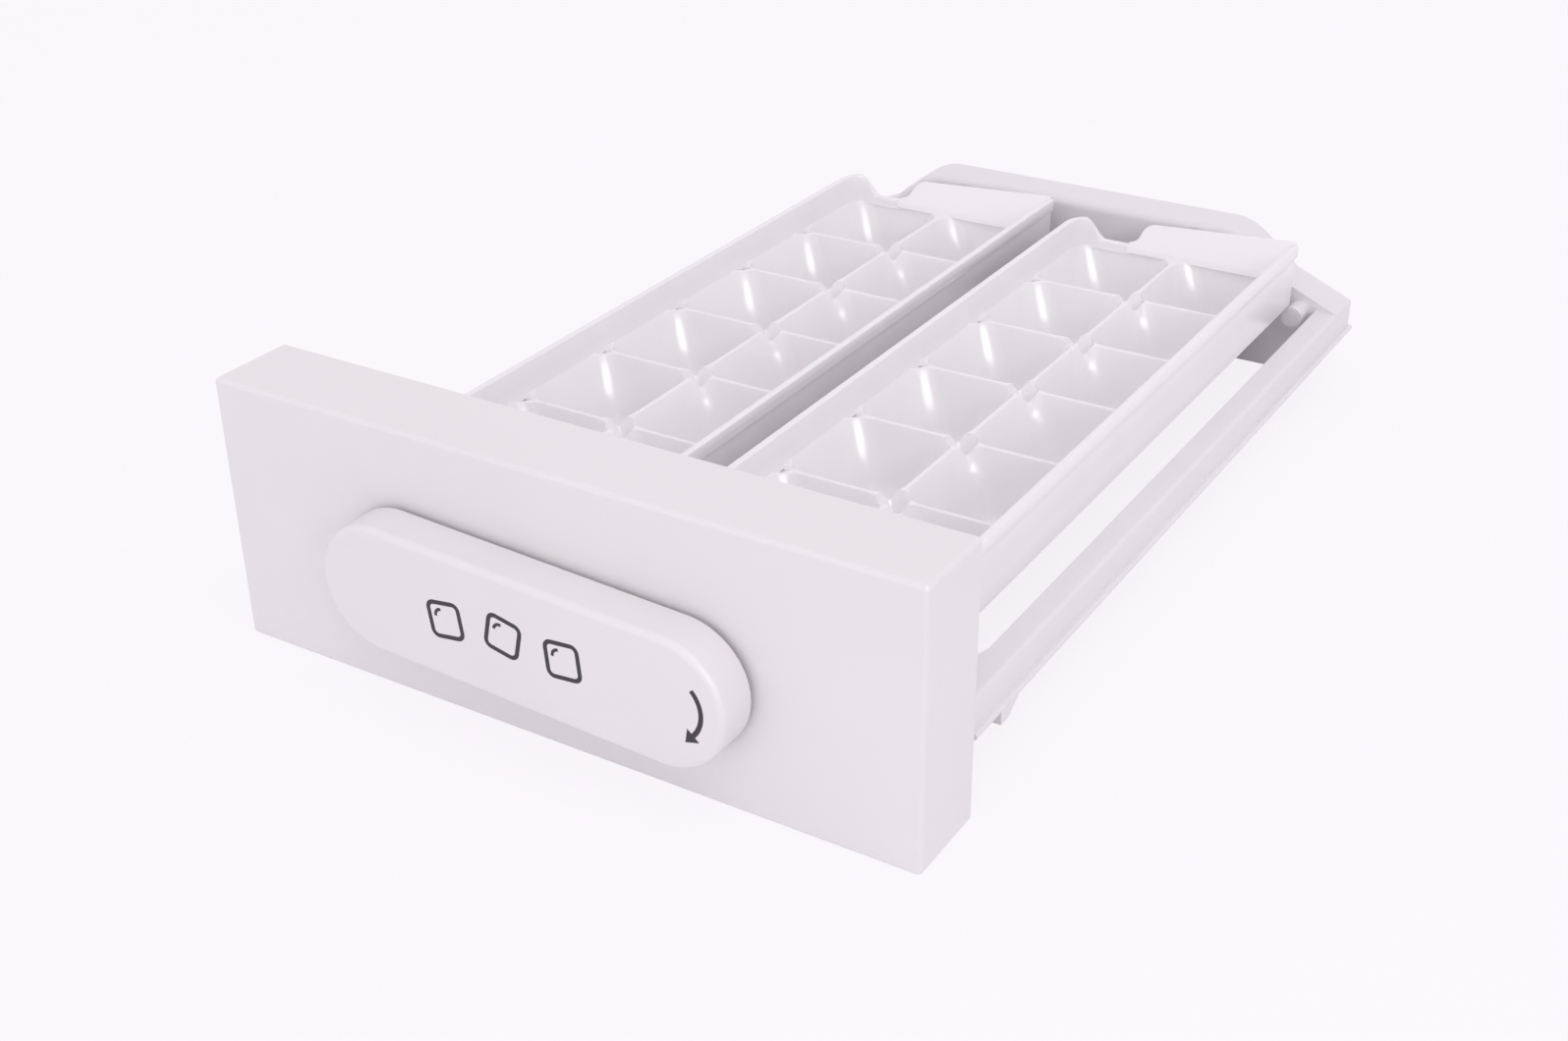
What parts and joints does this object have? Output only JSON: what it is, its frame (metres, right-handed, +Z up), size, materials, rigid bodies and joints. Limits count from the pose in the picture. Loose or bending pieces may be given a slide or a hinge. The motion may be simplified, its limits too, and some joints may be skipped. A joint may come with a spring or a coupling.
{
  "type": "lever ice cube tray",
  "caption": "Freezer twist ice maker: ice trays in a sliding carrier frame, turned over together by a lever on the front cover.",
  "frame": {"origin": "middle of the front cover's base, on the surface that the part stands on", "axes": "+X to the right seen from the front, +Y from the cover to the rear wall, +Z up"},
  "size_m": [0.2, 0.3267, 0.074],
  "materials": {
    "cover_plastic": "fine satin moulding",
    "tray_plastic": "smooth, slightly glossy moulding",
    "frame_plastic": "satin moulding",
    "gear_plastic": "natural acetal",
    "bush_plastic": "smooth",
    "spring_steel": "drawn wire",
    "screw_steel": "zinc plated"
  },
  "bodies": {
    "frame": {"carrier_frame": "frame_plastic", "front_cover": "cover_plastic", "lever_bush": "bush_plastic", "left_front_bush": "bush_plastic", "right_front_bush": "bush_plastic", "left_rear_bush": "bush_plastic", "right_rear_bush": "bush_plastic", "cover_screws": "screw_steel", "left_return_spring": "spring_steel", "right_return_spring": "spring_steel"},
    "lever": {"lever": "cover_plastic", "drive_gear": "gear_plastic", "lever_screw": "screw_steel", "lever_washer": "screw_steel"},
    "left_tray": {"left_tray": "tray_plastic", "left_tray_gear": "gear_plastic", "left_gear_screw": "screw_steel", "left_gear_washer": "screw_steel"},
    "right_tray": {"right_tray": "tray_plastic", "right_tray_gear": "gear_plastic", "right_gear_screw": "screw_steel", "right_gear_washer": "screw_steel"}
  },
  "joints": [
    {"name": "lever_turn", "type": "hinge", "parent": "frame", "child": "lever", "pos_m": [0, 0, 0.035], "axis": [0, 1, 0], "range_deg": [0, 90]},
    {"name": "left_tray_turn", "type": "hinge", "parent": "frame", "child": "left_tray", "pos_m": [-0.043, 0, 0.035], "axis": [0, 1, 0], "range_deg": [-140.1, 0], "stiffness_Nm_per_rad": 0.06, "springref_deg": 34.38, "deforming": ["left_return_spring"]},
    {"name": "right_tray_turn", "type": "hinge", "parent": "frame", "child": "right_tray", "pos_m": [0.043, 0, 0.035], "axis": [0, 1, 0], "range_deg": [-140.1, 0], "stiffness_Nm_per_rad": 0.06, "springref_deg": 34.38, "deforming": ["right_return_spring"]}
  ],
  "couplings": [
    {"joint": "left_tray_turn", "follows": "lever_turn", "ratio": -1.5556},
    {"joint": "right_tray_turn", "follows": "lever_turn", "ratio": -1.5556}
  ]
}
